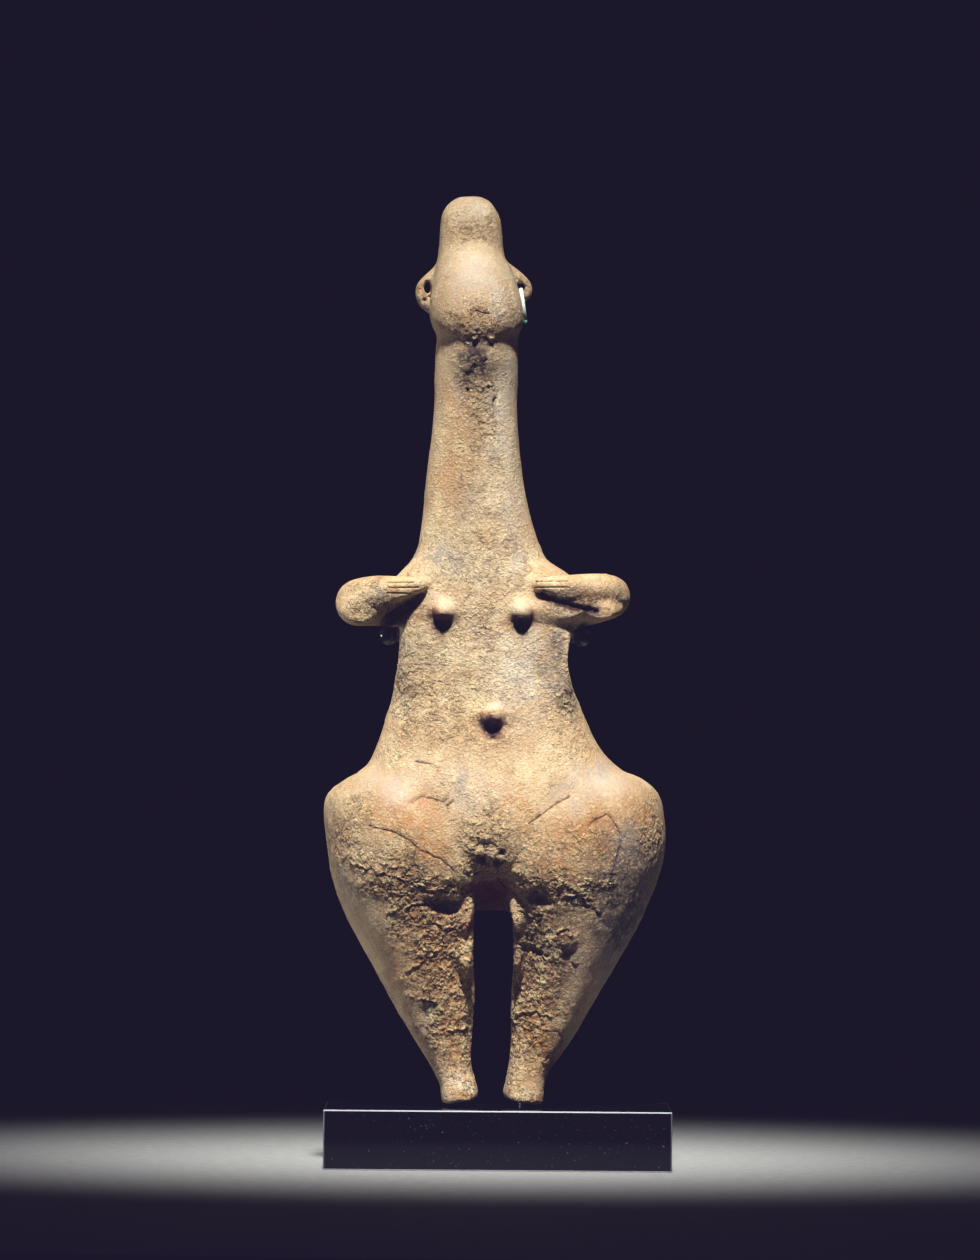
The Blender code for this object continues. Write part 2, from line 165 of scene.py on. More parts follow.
# Spots of hollows, with their tilt in degrees and depth. A bump has a negative depth.
HOLLOWS = (
    (-43.5, 217.0, 7.0, 3.4, 22, 3.0),
    (-38.5, 220.5, 5.0, 2.6, 30, 3.0),
    (-24.3, 211.5, 4.6, 3.6, 0, 1.6),
    (11.0, 211.2, 4.6, 3.6, 0, 1.6),
    (-2.4, 165.6, 5.0, 3.6, 0, 1.6),
    (-2.2, 160.0, 2.2, 0.8, 0, 0.8),
    (-24.0, 86.8, 7.6, 4.4, -8, 5.2),
    (-30.6, 88.4, 3.2, 2.6, 0, 2.6),
    (17.8, 90.6, 6.2, 3.4, -32, 3.4),
    (31.1, 72.8, 5.0, 5.0, 0, -1.6),
    (14.7, 67.5, 7.0, 2.2, -24, 2.4),
    (30.2, 66.0, 4.2, 1.8, 28, 1.8),
    (-31.0, 40.4, 4.6, 5.8, -30, 0.9),
    (-7.5, 107.0, 2.4, 2.4, 0, 4.0),
    (-0.4, 105.6, 2.0, 2.0, 0, 3.4),
    (1.8, 110.4, 1.8, 1.6, 0, 2.2),
    (-4.6, 113.4, 6.0, 3.0, 0, 1.2),
    (24.4, 13.3, 2.4, 5.4, 0, 2.4),
    (-1.3, 309.9, 0.7, 1.9, -25, 2.2),
    (-4.0, 315.7, 0.8, 0.8, 0, 1.4),
    (-13.3, 314.4, 0.8, 0.8, 0, 1.2),
    (-5.3, 327.2, 1.2, 1.2, 0, 1.4),
    (-9.8, 337.5, 1.7, 0.8, 18, -0.8),
    (-3.1, 337.0, 1.5, 0.8, -18, -0.8),
)

# Spots of rough crust, and how strong it is.
ROUGH = (
    (-10, 390, 15, 12, 0.42),
    (-34, 358, 7, 11, 0.45),
    (13, 361, 6, 9, 0.4),
    (-10, 345, 22, 8, 0.45),
    (-10, 338, 20, 3.0, 0.42),
    (-9, 322, 8, 16, 0.65),
    (-7, 300, 7, 18, 0.5),
    (-9, 268, 20, 30, 0.15),
    (-6, 240, 26, 16, 0.3),
    (-56, 216, 14, 6, 0.45),
    (-42, 190, 8, 34, 0.45),
    (32, 186, 8, 34, 0.4),
    (-40, 84, 10, 12, 0.9),
    (-58, 224, 12, 8, 0.3),
    (36, 221.5, 16, 4, 0.4),
    (56, 222, 8, 8, 0.3),
    (-14, 194, 26, 24, 0.28),
    (-6, 214, 5, 14, 0.4),
    (-30, 176, 20, 18, 0.36),
    (26, 180, 14, 14, 0.3),
    (-5, 152, 26, 10, 0.15),
    (-6, 118, 11, 14, 0.7),
    (-5, 104, 15, 8, 1.0),
    (-66, 118, 9, 16, 0.6),
    (-50, 106, 22, 8, 0.6),
    (-46, 96, 18, 6, 0.9),
    (-24, 92, 18, 9, 0.95),
    (68, 120, 8, 15, 0.7),
    (30, 95, 22, 7, 0.95),
    (44, 114, 14, 11, 0.35),
    (20, 112, 14, 9, 0.3),
    (-26, 66, 15, 30, 1.0),
    (-24, 36, 9, 20, 0.8),
    (18, 66, 15, 30, 0.9),
    (16, 36, 10, 20, 0.8),
    (-13, 48, 6, 46, 0.9),
    (8, 48, 6, 46, 0.9),
    (-17, 8, 8, 8, 0.4),
    (12, 8, 8, 8, 0.4),
    (-17, 2, 10, 3, 0.5),
    (12, 2, 10, 3, 0.5),
)
# Spots where the crust is rubbed away and the clay is smooth, and how strong that is.
WORN = (
    (-10, 366, 14, 10, 0.8),
    (-10, 397, 16, 4, 0.6),
    (-47, 141, 15, 8, 0.7),
    (46, 143, 15, 8, 0.7),
    (-5, 150, 24, 7, 0.4),
    (-24, 219, 6, 4, 0.5),
    (11, 219, 6, 4, 0.5),
    (-2, 173, 6, 4, 0.5),
)
# Spots of each tone of the fired clay, and their strength.
TONES = {
    # Orange clay, fired with plenty of air.
    "ochre": (
        (-41, 126, 17, 8, 0.8),
        (-29, 111, 10, 8, 1.0),
        (-45, 98, 8, 6, 0.7),
        (41, 120, 17, 10, 0.9),
        (63, 125, 9, 12, 0.7),
        (26, 103, 12, 5, 0.8),
        (10, 128, 8, 12, 0.6),
        (22, 200, 5, 12, 0.6),
        (19, 178, 14, 10, 0.4),
        (-21, 275, 5, 14, 0.5),
        (1, 344, 6, 4, 0.6),
        (-12, 345, 8, 4, 0.6),
        (-24, 213.5, 7.5, 3.2, 0.9),
        (11, 213.5, 7.5, 3.2, 0.9),
        (-2.4, 167.5, 8, 3.4, 1.0),
        (-54, 229, 9, 4, 0.6),
        (-65, 222, 5, 6, 0.4),
        (44, 222, 8, 5, 0.8),
        (55, 224, 4, 6, 0.5),
        (-28, 62, 14, 26, 1.0),
        (-20, 30, 8, 16, 0.9),
        (24, 62, 14, 26, 1.0),
        (18, 28, 8, 16, 0.9),
        (-30, 88, 20, 8, 0.7),
        (30, 92, 18, 8, 0.7),
        (-17, 1, 9, 2.5, 0.9),
        (13, 0, 9, 2.5, 0.9),
    ),
    # Darker tan where the skin is worn.
    "tan": (
        (-15, 290, 15, 56, 0.5),
        (-10, 386, 14, 14, 0.3),
        (-52, 222, 20, 14, 0.2),
        (44, 224, 20, 14, 0.4),
        (-5, 158, 40, 9, 0.7),
        (-46, 124, 26, 28, 0.9),
        (46, 124, 26, 28, 0.9),
        (-6, 130, 12, 16, 0.3),
        (13, 6, 10, 9, 0.7),
        (-50, 92, 14, 20, 0.4),
    ),
    # White lime haze on the smooth, raised places, which is also a painted highlight there and on the right
    # of the neck and belly.
    "lime_and_highlight": (
        (-10, 368, 13, 10, 0.4),
        (-10, 398, 14, 4, 0.4),
        (-47, 141, 16, 7, 0.3),
        (46, 143, 16, 7, 0.3),
        (2, 305, 8, 24, 0.8),
        (2, 350, 6, 10, 0.5),
        (8, 264, 6, 16, 0.4),
        (-6, 140, 20, 12, 0.3),
        (-24, 219, 5, 3.5, 0.4),
        (11, 219, 5, 3.5, 0.4),
        (-2, 174, 5, 3.5, 0.5),
        (14, 188, 16, 18, 0.9),
        (-8, 205, 20, 16, 0.3),
        (-6, 236, 20, 10, 0.3),
        (-17, 5, 8, 6, 0.5),
        (12, 4, 6, 4, 0.3),
    ),
    # Grey clouds of smoke from the firing, and smears of ash.
    "soot": (
        (-8, 364, 13, 10, 0.45),
        (-17, 317, 2.5, 9, 0.7),
        (-12, 266, 8, 14, 0.35),
        (6, 249, 5, 14, 0.4),
        (-25, 240, 9, 8, 0.7),
        (27, 200, 4, 16, 0.5),
        (-43, 204, 3, 14, 0.6),
        (-17, 140, 3.2, 11, 0.9),
        (44, 146, 7, 4, 0.8),
        (-47, 141, 16, 8, 0.35),
        (46, 141, 16, 8, 0.35),
        (35, 133, 10, 5, 0.5),
        (57, 115, 6, 10, 0.8),
        (-62, 96, 12, 16, 0.3),
        (38, 214, 12, 4, 0.5),
        (58, 88, 12, 20, 0.6),
        (-31, 40, 4.5, 6, 1.0),
        (34, 60, 9, 14, 0.4),
        (50, 226, 5, 4, 0.5),
    ),
    # Brown-black clouds where the smoke caught it, and painted shade under the head, under the forearms and
    # on the right thigh and leg.
    "smoke_and_shade": (
        # Painted shade on the lower right thigh and the right leg.
        (55, 82, 16, 26, 1.4),
        (34, 92, 14, 6, 1.0),
        (22, 68, 14, 26, 0.85),
        (13, 8, 9, 6, 0.3),
        (-58, 133, 12, 8, 0.15),
        (60, 112, 10, 12, 0.55),
        (-40, 96, 20, 7, 0.35),
        (-9, 330, 6.5, 7, 1.6),
        (-23, 335, 6, 3, 0.6),
        (-34, 103, 6, 5, 0.9),
        (-50, 218, 9, 4, 0.4),
        (-60, 213, 10, 4, 0.4),
        (-10, 322, 6, 12, 0.45),
        (-17, 316, 2.5, 9, 0.4),
        (-31, 40, 4.5, 6, 0.9),
        (26, 198, 3, 12, 0.5),
        (-66, 86, 10, 18, 0.1),
        (34, 222, 15, 4, 0.5),
    ),
    # Dark earth left in the deep places, and painted shade under the knobs and the forearms.
    "soil_and_shade": (
        (-9, 331, 5, 4.5, 0.8),
        (-7.5, 107, 3, 3, 0.9),
        (-0.4, 105.6, 2.5, 2.5, 0.9),
        (-4, 100, 6, 3, 0.5),
        (-24, 87, 8, 4, 0.7),
        # Painted shade in the hollow under the left forearm.
        (-44, 216, 9, 4.5, 0.9),
        (-38, 220, 5, 3, 0.8),
        (18, 90, 6, 3, 0.8),
        # Painted shadows under the knobs of the breasts and the navel.
        (-24.0, 213.8, 5.8, 2.4, 2.0),
        (-24.4, 211.0, 4.2, 2.6, 2.0),
        (-25.4, 208.8, 2.2, 2.2, 2.0),
        (11.2, 213.4, 5.8, 2.4, 2.0),
        (11.0, 210.6, 4.2, 2.6, 2.0),
        (10.4, 208.8, 2.2, 2.2, 2.0),
        (-2.6, 168.0, 6.2, 2.4, 2.0),
        (-2.4, 165.2, 4.2, 2.6, 2.0),
        (-2.2, 163.0, 2.2, 2.2, 2.0),
        # Painted shade under the forearms.
        (31, 222.6, 12, 3.2, 0.45),
        (-50, 218, 8, 4, 0.4),
        (24, 13, 2.6, 5.4, 1.5),
        (-1.3, 310, 1.2, 2.4, 0.8),
        (-7, 318, 6, 12, 0.35),
    ),
}
BASE_ROUGH = 0.12  # the thin crust that lies nearly everywhere
THINNED = 0.3  # how much of the crust's height is rubbed off a fully worn place

# How far the edges of the painted spots wander, in millimetres. The soil and painted shade keep close to
# their spots.
WANDER = {"crust": 3.0, "tone": 4.0, "soil_and_shade": 1.0}
# Painted shade in the slit and in the cracks, where the cracks also hold dirt: the lines, how far from them
# it reaches, and its strength.
LINE_SHADE_AND_DIRT = ((SLITS, 1.8, 1.6), (CRACKS, 0.4, 0.6))
# Painted red-brown shade under the crotch: its spot, how far back it fades out, and its strength.
CROTCH = (-4, 84, 9.5, 13)
CROTCH_FADE = (-30, -22)
CROTCH_SHADE = 3.0

# The earring: its middle on the figure, half widths of its band along and across its axis, and in degrees
# how far it goes round, where it starts and how its axis leans.
RING_MIDDLE = (11.3, 6.0, 352.8)
RING_RADIUS = 7.5
RING_STEPS = 60
BAND = (0.95, 0.6)
BAND_SIDES = 10
RING_TURN, RING_START, RING_TILT = 348, 120, 8.5

# The block: how far its edges are rounded, and its socket's x, y, radius and depth.
PLINTH_EDGE = 0.5
SOCKET = (12.0, 36.0, 3.3, 12.7)
SOCKET_SIDES = 48
ROD_VOXEL = 0.5
# The tubing: how far forward each station is, and its radius.
SLEEVE_SIDES = 40
SLEEVE_OUTSIDE = (
    (0.0, 3.8),
    (0.3, 4.1),
    (16.9, 4.1),
    (18.2, 3.9),
    (19.4, 3.3),
    (20.3, 2.4),
    (20.85, 1.3),
    (21.0, 0.4),
)
SLEEVE_BORE = ((0.0, 3.8), (0.0, 3.0), (0.4, 2.7), (14.0, 2.7), (14.0, 0.4))
# How pale the block's edges are, with scuffs and a painted highlight: the upright ones, those that run back,
# those along its front and back.
# Each set is given by the two axes that it lies across.
EDGE_HIGHLIGHT_AND_SCUFFS = ((0, 1, 0.25), (0, 2, 0.06), (1, 2, 1.0))


def linear(colour):
    """The linear colour of an sRGB hex value, as the shaders take it."""
    parts = [int(colour[at : at + 2], 16) / 255 for at in (1, 3, 5)]
    return (*[((part + 0.055) / 1.055) ** 2.4 if part > 0.04045 else part / 12.92 for part in parts], 1.0)


def add_node(tree, kind, inputs=None, output=0, **settings):
    """Adds a node with its settings and links, and gives an output. An input is a value or a socket."""
    made = tree.nodes.new("ShaderNode" + kind)
    for name, value in settings.items():
        setattr(made, name, value)
    for name, value in (inputs or {}).items():
        if isinstance(value, bpy.types.NodeSocket):
            tree.links.new(value, made.inputs[name])
        else:
            made.inputs[name].default_value = value
    return made.outputs[output]


def new_material(name, **sockets):
    """A material with one Principled shader, whose sockets take these plain values."""
    material = bpy.data.materials.new(name)
    material.use_nodes = True
    shader = material.node_tree.nodes["Principled BSDF"]
    for socket, value in sockets.items():
        shader.inputs[socket.replace("_", " ")].default_value = value
    return material, material.node_tree, shader


def deselect():
    """Clears the selection, because an operator acts on all that is selected."""
    for item in bpy.context.selected_objects:
        item.select_set(False)


def take(item):
    """Makes this the only selected object, and the active one."""
    deselect()
    item.select_set(True)
    bpy.context.view_layer.objects.active = item


def edit(item):
    """Opens this object's mesh for modelling, with all of it selected."""
    take(item)
    bpy.ops.object.mode_set(mode="EDIT")
    bpy.ops.mesh.select_all(action="SELECT")


def modify(item, kind, **settings):
    """Adds a modifier and applies it at once."""
    take(item)
    modifier = item.modifiers.new(kind.lower(), kind)
    for name, value in settings.items():
        setattr(modifier, name, value)
    bpy.ops.object.modifier_apply(modifier=modifier.name)


def copy_of_node(node, name):
    """A merged copy of a CAD node's mesh, as a piece of its own."""
    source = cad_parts[node]
    piece = bpy.data.objects.new(name, source.data.copy())
    bpy.context.scene.collection.objects.link(piece)
    piece.data.materials.clear()
    edit(piece)
    bpy.ops.mesh.remove_doubles(threshold=0.000001)
    bpy.ops.object.mode_set(mode="OBJECT")
    return piece


def read_places(mesh):
    """Every vertex's place on the figure, in millimetres, and its normal."""
    flat = np.empty(len(mesh.vertices) * 3)
    mesh.vertices.foreach_get("co", flat)
    places = flat.reshape(-1, 3) / MM
    height = places[:, 2] - SOLE_HEIGHT
    places = np.column_stack((places[:, 0] + LEAN * height, places[:, 1] - FIGURE_Y, height))
    normals = np.empty(len(mesh.vertices) * 3)
    mesh.vertex_normals.foreach_get("vector", normals)
    return places, normals.reshape(-1, 3)


def write_places(mesh, places):
    """Puts every vertex at its place on the figure."""
    across = places[:, 0] - LEAN * places[:, 2]
    world = np.column_stack((across, places[:, 1] + FIGURE_Y, places[:, 2] + SOLE_HEIGHT)) * MM
    mesh.vertices.foreach_set("co", world.ravel())
    mesh.update()


def ease(low, high, values):
    """0 below the low value, 1 above the high one, and a smooth step between."""
    t = np.clip((values - low) / (high - low), 0, 1)
    return t * t * (3 - 2 * t)


def lumps(places, size, octaves=3, start=0.0):
    """Smooth noise, about -1 to 1, with lumps of this size in millimetres."""
    points = (places / size + start).tolist()
    return np.array([noise.fractal(point, 1.0, 2.0, octaves) for point in points]) * NOISE_GAIN


def ragged(places, reach, size, octaves, starts):
    """The places moved about by up to this reach along each axis, which makes an edge on them ragged."""
    moves = [reach * lumps(places, size, octaves, start) for start in starts]
    return places + np.column_stack(moves)


def line_distance(places, line):
    """How far each place is from a bent line, seen from the front."""
    seen = places[:, (0, 2)]
    nearest = np.full(len(seen), 1e9)
    for start, end in zip(line, line[1:]):
        start, end = np.array(start, float), np.array(end, float)
        along = end - start
        part = np.clip((seen - start) @ along / (along @ along), 0, 1)
        nearest = np.minimum(nearest, np.linalg.norm(seen - start - part[:, None] * along, axis=1))
    return nearest


def spot_distance(places, x, z, half_width, half_height, tilt=0.0):
    """Distance from the middle of an oval seen from the front, 1 at its rim."""
    turn = math.radians(tilt)
    across, up = places[:, 0] - x, places[:, 2] - z
    long = across * math.cos(turn) + up * math.sin(turn)
    short = up * math.cos(turn) - across * math.sin(turn)
    return np.hypot(long / half_width, short / half_height)


def front(normals):
    """1 where the skin faces the front, and 0 where it faces sideways or back."""
    return ease(*FRONT_FADE, -normals[:, 1])


def near_lines(clay, lines, reach):
    """The front vertices that lie near these lines."""
    places, normals = read_places(clay.data)
    loose = places + 0.5 * lumps(places, 3, 2)[:, None]
    near = np.zeros(len(places), bool)
    for line in lines:
        near |= line_distance(loose, line) < reach
    return near & (front(normals) > 0.1)


def make_finer(clay, chosen):
    """Subdivides the faces of the chosen vertices, so that they can hold something small."""
    take(clay)
    bpy.ops.object.mode_set(mode="EDIT")
    bpy.ops.mesh.select_all(action="DESELECT")
    bpy.ops.object.mode_set(mode="OBJECT")
    clay.data.vertices.foreach_set("select", chosen)
    bpy.ops.object.mode_set(mode="EDIT")
    bpy.ops.mesh.select_mode(type="VERT")
    bpy.ops.mesh.subdivide(number_cuts=1, smoothness=0)
    bpy.ops.object.mode_set(mode="OBJECT")


def carve(places, normals):
    """The depth in millimetres of every cut, crack and hollow of the front."""
    rough = ragged(places, 0.35, 2.2, 2, (3.3, 0, 8.1))
    depth = np.zeros(len(places))
    for x, z, half_width, half_height, tilt, deep in HOLLOWS:
        depth += deep * (1 - ease(0.35, 1.15, spot_distance(rough, x, z, half_width, half_height, tilt)))
    cuts = ((places, FINGERS, FINGER_CUT), (rough, SLITS, SLIT_CUT), (rough, CRACKS, CRACK_CUT))
    for seen, lines, (width, deep) in cuts:
        for line in lines:
            depth += deep * (1 - ease(width * 0.4, width * 1.3, line_distance(seen, line)))
    return depth * front(normals)


def painted(places, normals, spots, wander):
    """Soft spots with wandering edges on the front, 0 to about 1."""
    total = np.zeros(len(places))
    rough = ragged(places, wander, 12, 4, (1.7, 0, 5.9))
    for x, z, half_width, half_height, strength in spots:
        spot = strength * np.exp(-(spot_distance(rough, x, z, half_width, half_height) ** 2))
        total = np.maximum(total, spot) + OVERLAP * np.minimum(total, spot)
    return total * front(normals)


def crust_cover(places, normals):
    """How thick the crust of burial lime lies: 1 is thick, 0 is bare, and below that the clay is worn."""
    cover = painted(places, normals, ROUGH, WANDER["crust"])
    cover += BASE_ROUGH * (0.6 + 0.6 * lumps(places, 20, 3, 4.4))
    worn = np.clip(painted(places, normals, WORN, WANDER["crust"]), 0, 1)
    return np.clip(cover * (1 - worn) - THINNED * worn, -THINNED, 1)


def curls(places, size, start, width):
    """Short thin ridges where a flake curls up: wandering lines broken by gaps, 0 to 1."""
    lines = np.clip(1 - np.abs(lumps(places, size, 2, start)) / width, 0, 1)
    return lines * ease(-0.15, 0.25, lumps(places, size * 0.9, 2, start + 13.7))


def sheets(places, size, start):
    """Torn sheets: flat tops with ragged edges, 0 to 1."""
    return ease(0.1, 0.2, lumps(places, size, 5, start))


def ledge_height(places, normals):
    """The ledges in millimetres: a raised line, and a groove just below it."""
    high, width = LEDGE
    rough = ragged(places, 0.9, 3.0, 3, (6.3, 0, 9.1))
    below = rough + (0, 0, 1.7 * width)
    height = np.zeros(len(places))
    for line in LEDGES:
        height += high * np.exp(-((line_distance(rough, line) / width) ** 2))
        height -= high * np.exp(-((line_distance(below, line) / width) ** 2))
    return height * front(normals) * ease(-0.5, 0.1, lumps(places, 5.0, 2, 15.0))


def crust_relief(places, normals, cover):
    """The height of the crust in millimetres: torn sheets, curled rims, ledges and crumbs."""
    flat = ragged(places, 1.2, 4.0, 3, (2.1, 7.7, 11.3)) * (1, 1, 1.2)
    broken = ease(0.2, 0.9, lumps(places, 8.0, 3, 31.0) + 1.6 * cover - 0.1)
    height = 0.28 * sheets(flat, 5.5, 0.0) + 0.22 * sheets(flat, 3.2, 20.0)
    height += 0.4 * curls(flat, 4.0, 42.0, 0.28)
    height *= broken * np.maximum(0.35 + 0.65 * cover, 0)
    crumbs = 0.4 * curls(flat, 3.0, 47.0, 0.35) + 0.35 * lumps(places, 9.0, 3, 64.0)
    height += np.maximum(cover, 0) ** 3 * crumbs
    return height + ledge_height(places, normals)


def fill_out(places, normals):
    """Brings the skin forward in places, lowers the knobs and draws out the worn hole."""
    faces_front = ease(-0.35, 0.15, -normals[:, 1])
    for x, z, half_width, half_height, forward in FULLER:
        spot = np.exp(-(spot_distance(places, x, z, half_width, half_height) ** 2))
        places[:, 1] -= forward * faces_front * spot
    for x, z, half_width, half_height, depth in FILLED:
        share = faces_front * (1 - ease(0.5, 1.5, spot_distance(places, x, z, half_width, half_height)))
        filled = places[:, 1] + (depth - places[:, 1]) * share
        places[:, 1] = np.minimum(places[:, 1], filled)
    for x, z, half_width, half_height, down in SUNK:
        spot = np.exp(-(spot_distance(places, x, z, half_width, half_height) ** 4))
        places[:, 2] -= down * faces_front * spot
    x, z, reach, taller = WORN_HOLE
    near = 1 - ease(0.4, 1, np.hypot(places[:, 0] - x, places[:, 2] - z) / reach)
    places[:, 2] += taller * near * (places[:, 2] - z)
    return places


def smooth_crease(clay, places, normals):
    """Smooths out the crease under the head."""
    x, z, half_width, half_height, rounds = CREASE
    weights = front(normals) * np.exp(-(spot_distance(places, x, z, half_width, half_height) ** 4))
    group = clay.vertex_groups.new(name="crease")
    for index in np.flatnonzero(weights > 0.02).tolist():
        group.add([index], weights[index], "REPLACE")
    modify(clay, "SMOOTH", iterations=rounds, vertex_group="crease")
    clay.vertex_groups.clear()


def line_shade_and_dirt(places, normals):
    """Painted shade in the slit, and painted shade with dirt in the cracks."""
    rough = places + 0.35 * lumps(places, 2.2, 2, 3.3)[:, None] * (1, 0, 1)
    soil_and_shade = np.zeros(len(places))
    for lines, width, dark in LINE_SHADE_AND_DIRT:
        for line in lines:
            near = 1 - ease(width * 0.5, width * 1.4, line_distance(rough, line))
            soil_and_shade = np.maximum(soil_and_shade, dark * near)
    return soil_and_shade * front(normals)


def crotch_shade(places, normals):
    """Painted red-brown shade where the legs part, on what faces down."""
    x, z, half_width, half_height = CROTCH
    across, up = (places[:, 0] - x) / half_width, (places[:, 2] - z) / half_height
    ahead = ease(*CROTCH_FADE, -places[:, 1])
    return CROTCH_SHADE * ahead * ease(-0.1, 0.4, -normals[:, 2]) * np.exp(-(across**4) - up**4)


def clay_layers(places, normals, cover, relief):
    """What the clay material reads at each vertex: the crust, its relief, and the strength of each tone."""
    layers = {"crust": cover, "relief": relief}
    for tone, spots in TONES.items():
        layers[tone] = painted(places, normals, spots, WANDER["soil_and_shade" if tone == "soil_and_shade" else "tone"])
    layers["soil_and_shade"] = np.maximum(layers["soil_and_shade"], line_shade_and_dirt(places, normals))
    layers["red_shade"] = crotch_shade(places, normals)
    return layers


def make_clay():
    """The whole figure, as one skin of clay with its relief."""
    clay = copy_of_node("idol", "idol_clay")
    modify(clay, "SUBSURF", levels=2, render_levels=2)
    modify(clay, "REMESH", mode="VOXEL", voxel_size=VOXEL * MM)
    modify(clay, "SMOOTH", iterations=FIRST_SMOOTHING)

    places, normals = read_places(clay.data)
    write_places(clay.data, fill_out(places, normals))
    smooth_crease(clay, *read_places(clay.data))
    make_finer(clay, crust_cover(*read_places(clay.data)) > CRUSTED)
    for reach in (CUT_REACH, CUT_REACH / 2):
        make_finer(clay, near_lines(clay, FINGERS + CRACKS, reach))
    places, normals = read_places(clay.data)
    write_places(clay.data, places - carve(places, normals)[:, None] * normals)

    places, normals = read_places(clay.data)
    cover = crust_cover(places, normals)
    relief = crust_relief(places, normals, cover)
    write_places(clay.data, places + relief[:, None] * normals)
    for name, values in clay_layers(places, normals, cover, relief).items():
        clay.data.attributes.new(name, "FLOAT", "POINT").data.foreach_set("value", values)

    triangles = sum(len(face.vertices) - 2 for face in clay.data.polygons)
    modify(clay, "DECIMATE", ratio=CLAY_TRIANGLES / triangles, use_collapse_triangulate=True)
    clay.data.shade_smooth()
    return clay


# Tones that lie over each other on the plain clay: colour, size in millimetres, how the pattern is squeezed
# along x, y and z (below 1 draws it out), the noise at which the tone starts and is full, and its share.
MOTTLE = (
    ("#d3ba8e", 17, (1, 1, 1), 0.42, 0.58, 1.0),
    ("#b08c62", 8, (1, 1, 0.4), 0.5, 0.66, 0.6),
    ("#cba06a", 11, (1, 1, 0.7), 0.53, 0.7, 0.7),
    ("#aea59a", 13, (1, 1, 0.5), 0.57, 0.7, 0.55),
)
# How each painted tone looks, and the size of its ragged edges in millimetres. The tones of the firing, the
# lime with its painted highlight and the smoke with its painted shade lie under the crust; the dark earth
# with its painted shade and the red painted shade under the crotch show over it.
UNDER_CRUST = {
    "tan": ("#a58054", 8),
    "lime_and_highlight": ("#d0c4b0", 5),
    "ochre": ("#a66c2c", 4),
    "soot": ("#8f8780", 5),
    "smoke_and_shade": ("#483932", 5),
}
OVER_CRUST = {"soil_and_shade": ("#38130c", 3), "red_shade": ("#7a2412", 3)}
# The sizes of the torn sheets of crust in millimetres, the noise at which each starts, and how far up the
# second set lies over the first.
SHEET_SIZES = ((5.0, 0.53), (2.6, 0.55))
SHEET_STEP = 0.8
DRIFT = 2.4  # how far the pattern of the crust is pulled about, in millimetres


def mottled_clay(tree, place):
    """The colour of the plain clay: tones from the firing that lie over each other."""
    colour = linear("#bf9e74")
    for tone, size, stretch, low, high, share in MOTTLE:
        moved = add_node(tree, "Mapping", {"Vector": place, "Location": (size, 0, 0), "Scale": stretch})
        inputs = {"Vector": moved, "Scale": 1 / (size * MM), "Detail": 8.0, "Roughness": 0.66}
        pattern = add_node(tree, "TexNoise", inputs)
        inputs = {"Value": pattern, "From Min": low, "From Max": high, "To Max": share}
        share = add_node(tree, "MapRange", inputs)
        colour = add_node(tree, "Mix", {0: share, 6: colour, 7: linear(tone)}, 2, data_type="RGBA")
    return colour


def tinted(tree, place, colour, share, tone, size):
    """The colour with a painted tone over it, whose edges are ragged."""
    inputs = {"Vector": place, "Scale": 1 / (size * MM), "Detail": 8.0, "Roughness": 0.7}
    inputs = {"Value": add_node(tree, "TexNoise", inputs), "From Min": 0.3, "From Max": 0.55}
    edge = add_node(tree, "MapRange", inputs)
    share = add_node(tree, "Math", {0: share, 1: edge}, operation="MULTIPLY", use_clamp=True)
    return add_node(tree, "Mix", {0: share, 6: colour, 7: linear(tone)}, 2, data_type="RGBA")


def torn_sheets(tree, drifted):
    """Torn sheets of crust, finer than the mesh can hold, and a painted shadow under their lower edges.

    The second set is the first moved a little, and the painted shadow lies where only the second is.
    """
    torn = []
    for up in (0.0, SHEET_STEP):
        inputs = {"Vector": drifted, "Location": (0, 0, up * MM), "Scale": (1, 1, 1.4)}
        moved = add_node(tree, "Mapping", inputs)
        steps = 0.0
        for size, low in SHEET_SIZES:
            inputs = {"Vector": moved, "Scale": 1 / (size * MM), "Detail": 5.0, "Roughness": 0.6}
            pattern = add_node(tree, "TexNoise", inputs)
            sheet = add_node(tree, "MapRange", {"Value": pattern, "From Min": low, "From Max": low + 0.03})
            steps = add_node(tree, "Math", {0: sheet, 1: steps})
        torn.append(steps)
    edge_shadow = add_node(tree, "Math", {0: torn[1], 1: torn[0]}, operation="SUBTRACT", use_clamp=True)
    return torn[0], edge_shadow


def curled_rims(tree, place, drifted):
    """Thin rims where the crust curls up, broken by gaps."""
    inputs = {"Vector": drifted, "Scale": 1 / (2.8 * MM), "Detail": 2.0, "Roughness": 0.6}
    pattern = add_node(tree, "TexNoise", inputs)
    away = add_node(tree, "Math", {0: pattern, 1: 0.5}, operation="SUBTRACT")
    away = add_node(tree, "Math", {0: away}, operation="ABSOLUTE")
    inputs = {"Value": away, "From Min": 0.0, "From Max": 0.05, "To Min": 1.0, "To Max": 0.0}
    rims = add_node(tree, "MapRange", inputs)
    pattern = add_node(tree, "TexNoise", {"Vector": place, "Scale": 1 / (2.2 * MM), "Detail": 1.0})
    broken = add_node(tree, "MapRange", {"Value": pattern, "From Min": 0.46, "From Max": 0.6})
    return add_node(tree, "Math", {0: rims, 1: broken}, operation="MULTIPLY")


def loose_crumbs(tree, drifted, near):
    """Crumbs of all sizes that stick to the clay where it is near the crust."""
    inputs = {"Vector": drifted, "Scale": 1 / (1.7 * MM)}
    middle = add_node(tree, "TexVoronoi", inputs)
    chance = add_node(tree, "TexVoronoi", inputs, "Color")
    crumbs = add_node(tree, "Math", {0: chance, 1: middle}, operation="SUBTRACT")
    crumbs = add_node(tree, "MapRange", {"Value": crumbs, "From Min": 0.2, "From Max": 0.32})
    return add_node(tree, "Math", {0: crumbs, 1: near}, operation="MULTIPLY")


